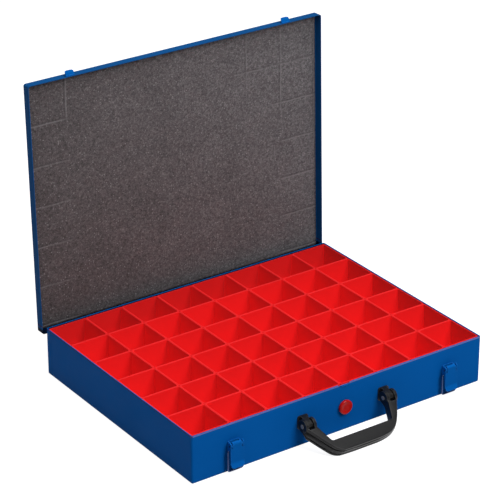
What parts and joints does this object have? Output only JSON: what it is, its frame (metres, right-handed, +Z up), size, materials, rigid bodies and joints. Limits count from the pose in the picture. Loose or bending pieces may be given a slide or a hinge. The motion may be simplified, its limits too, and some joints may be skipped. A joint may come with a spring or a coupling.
{
  "type": "compartment storage box",
  "caption": "Blue sheet steel case with a hinged foam-lined lid, loose red inset boxes in rows, toggle latches, a folding black handle and a red push button.",
  "frame": {"origin": "middle of the tray's flat underside", "axes": "+X to the right along the hinges, +Y to the back where the lid is hinged, +Z up"},
  "size_m": [0.44, 0.4134, 0.3944],
  "materials": {
    "blue_enamel": "satin powder coat",
    "red_plastic": "smooth moulded",
    "red_button": "polished",
    "grey_foam": "matt open foam",
    "black_plastic": "fine grained",
    "zinc_steel": "zinc plated"
  },
  "bodies": {
    "base": {"base_tray": "blue_enamel", "button_spring": "zinc_steel", "hinge_base_leaf_left": "blue_enamel", "hinge_pin_left": "zinc_steel", "hinge_base_rivets_left": "blue_enamel", "latch_bracket_left": "blue_enamel", "latch_pin_left": "zinc_steel", "latch_rivets_left": "blue_enamel", "handle_bracket_left": "black_plastic", "handle_screws_left": "zinc_steel", "hinge_base_leaf_right": "blue_enamel", "hinge_pin_right": "zinc_steel", "hinge_base_rivets_right": "blue_enamel", "latch_bracket_right": "blue_enamel", "latch_pin_right": "zinc_steel", "latch_rivets_right": "blue_enamel", "handle_bracket_right": "black_plastic", "handle_screws_right": "zinc_steel"},
    "lid": {"lid_shell": "blue_enamel", "lid_foam": "grey_foam", "hinge_lid_leaf_left": "blue_enamel", "hinge_lid_rivets_left": "blue_enamel", "lid_hook_left": "blue_enamel", "hinge_lid_leaf_right": "blue_enamel", "hinge_lid_rivets_right": "blue_enamel", "lid_hook_right": "blue_enamel"},
    "handle": {"handle_grip": "black_plastic", "handle_pin_left": "zinc_steel", "handle_pin_right": "zinc_steel"},
    "button": {"button_cap": "red_button", "catch_plate": "blue_enamel", "catch_clip": "zinc_steel"},
    "lever_left": {"latch_lever_left": "blue_enamel"},
    "bail_left": {"latch_bail_left": "zinc_steel"},
    "lever_right": {"latch_lever_right": "blue_enamel"},
    "bail_right": {"latch_bail_right": "zinc_steel"},
    "boxes_1": {"box_row_1": "red_plastic"},
    "boxes_2": {"box_row_2": "red_plastic"},
    "boxes_3": {"box_row_3": "red_plastic"},
    "boxes_4": {"box_row_4": "red_plastic"},
    "boxes_5": {"box_row_5": "red_plastic"},
    "boxes_6": {"box_row_6": "red_plastic"}
  },
  "joints": [
    {"name": "lid_hinge", "type": "hinge", "parent": "base", "child": "lid", "pos_m": [0, 0.169, 0.051], "axis": [-1, 0, 0], "range_deg": [-91.8, 0]},
    {"name": "latch_left_lever", "type": "hinge", "parent": "base", "child": "lever_left", "pos_m": [-0.16, -0.1715, 0.038], "axis": [-1, 0, 0], "range_deg": [0, 135]},
    {"name": "latch_left_bail", "type": "hinge", "parent": "lever_left", "child": "bail_left", "pos_m": [-0.16, -0.1705, 0.031], "axis": [1, 0, 0], "range_deg": [-180, 0]},
    {"name": "latch_right_lever", "type": "hinge", "parent": "base", "child": "lever_right", "pos_m": [0.164, -0.1715, 0.038], "axis": [-1, 0, 0], "range_deg": [0, 135]},
    {"name": "latch_right_bail", "type": "hinge", "parent": "lever_right", "child": "bail_right", "pos_m": [0.164, -0.1705, 0.031], "axis": [1, 0, 0], "range_deg": [-180, 0]},
    {"name": "handle_hinge", "type": "hinge", "parent": "base", "child": "handle", "pos_m": [0.002, -0.176, 0.033], "axis": [-1, 0, 0], "range_deg": [0, 100]},
    {"name": "button_press", "type": "slide", "parent": "base", "child": "button", "axis": [0, 1, 0], "range_m": [0, 0.0013], "stiffness_N_per_m": 400, "springref_m": -0.002, "deforming": ["button_spring"]},
    {"name": "boxes_1_lift", "type": "slide", "parent": "base", "child": "boxes_1", "axis": [0, 0, 1], "range_m": [0, 0.066]},
    {"name": "boxes_2_lift", "type": "slide", "parent": "base", "child": "boxes_2", "axis": [0, 0, 1], "range_m": [0, 0.066]},
    {"name": "boxes_3_lift", "type": "slide", "parent": "base", "child": "boxes_3", "axis": [0, 0, 1], "range_m": [0, 0.066]},
    {"name": "boxes_4_lift", "type": "slide", "parent": "base", "child": "boxes_4", "axis": [0, 0, 1], "range_m": [0, 0.066]},
    {"name": "boxes_5_lift", "type": "slide", "parent": "base", "child": "boxes_5", "axis": [0, 0, 1], "range_m": [0, 0.066]},
    {"name": "boxes_6_lift", "type": "slide", "parent": "base", "child": "boxes_6", "axis": [0, 0, 1], "range_m": [0, 0.066]}
  ]
}
